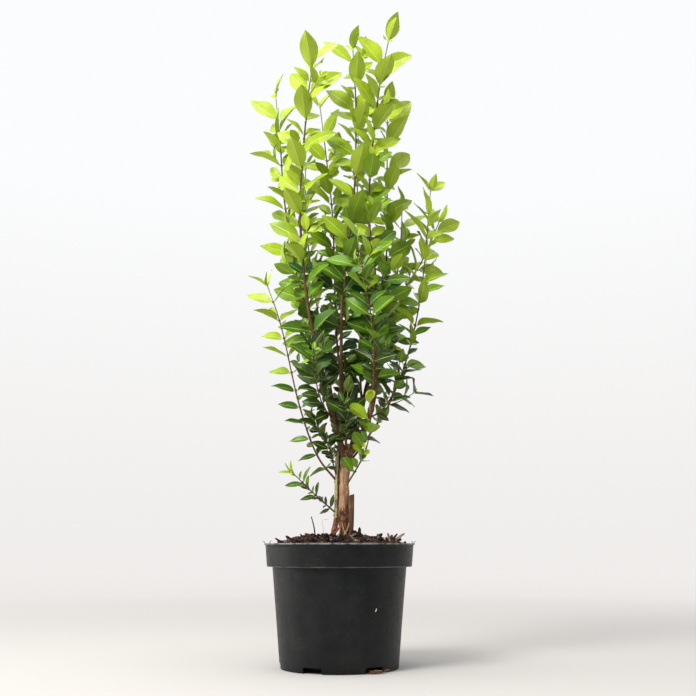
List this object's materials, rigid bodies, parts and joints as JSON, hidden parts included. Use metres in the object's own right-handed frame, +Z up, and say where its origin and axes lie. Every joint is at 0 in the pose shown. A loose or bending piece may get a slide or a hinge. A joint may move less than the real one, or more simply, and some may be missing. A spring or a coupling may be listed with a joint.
{
  "type": "potted privet",
  "caption": "Potted young privet: forked trunk with ascending leafy shoots, glossy oval leaves in opposite pairs, bark mulch, round black nursery pot.",
  "frame": {"origin": "centre of the pot's flat underside", "axes": "+Z up along the pot's axis, +X to the right and -Y to the viewer of the picture"},
  "size_m": [0.3481, 0.269, 1.013],
  "materials": {
    "moulded_black_plastic": "moulded charcoal-black plastic with a low sheen",
    "bark_mulch": "moist bark mulch, rough, reddish to dark brown",
    "bark": "tan to reddish-brown bark with small pale dots",
    "foliage": "glossy green leaves on thin brown twigs, lime green at the tops"
  },
  "bodies": {
    "root": {"pot": "moulded_black_plastic", "soil": "bark_mulch", "trunk": "bark", "second_stem": "bark", "pruned_stub": "bark", "left_bough": "bark", "centre_bough": "bark", "right_bough": "bark", "back_left_bough": "bark", "back_right_bough": "bark", "right_shoot": "foliage", "centre_shoot": "foliage", "left_shoot": "foliage", "left_outer_shoot": "foliage", "right_outer_shoot": "foliage", "left_back_shoot": "foliage", "middle_back_shoot": "foliage", "right_inner_shoot": "foliage", "right_slant_shoot": "foliage", "back_left_shoot": "foliage", "back_middle_shoot": "foliage", "back_right_shoot": "foliage", "front_shoot": "foliage", "low_left_twig": "foliage", "left_twig": "foliage", "right_twig": "foliage", "inner_front_twig": "foliage", "inner_left_twig": "foliage", "inner_right_twig": "foliage", "inner_back_twig": "foliage"}
  },
  "joints": []
}
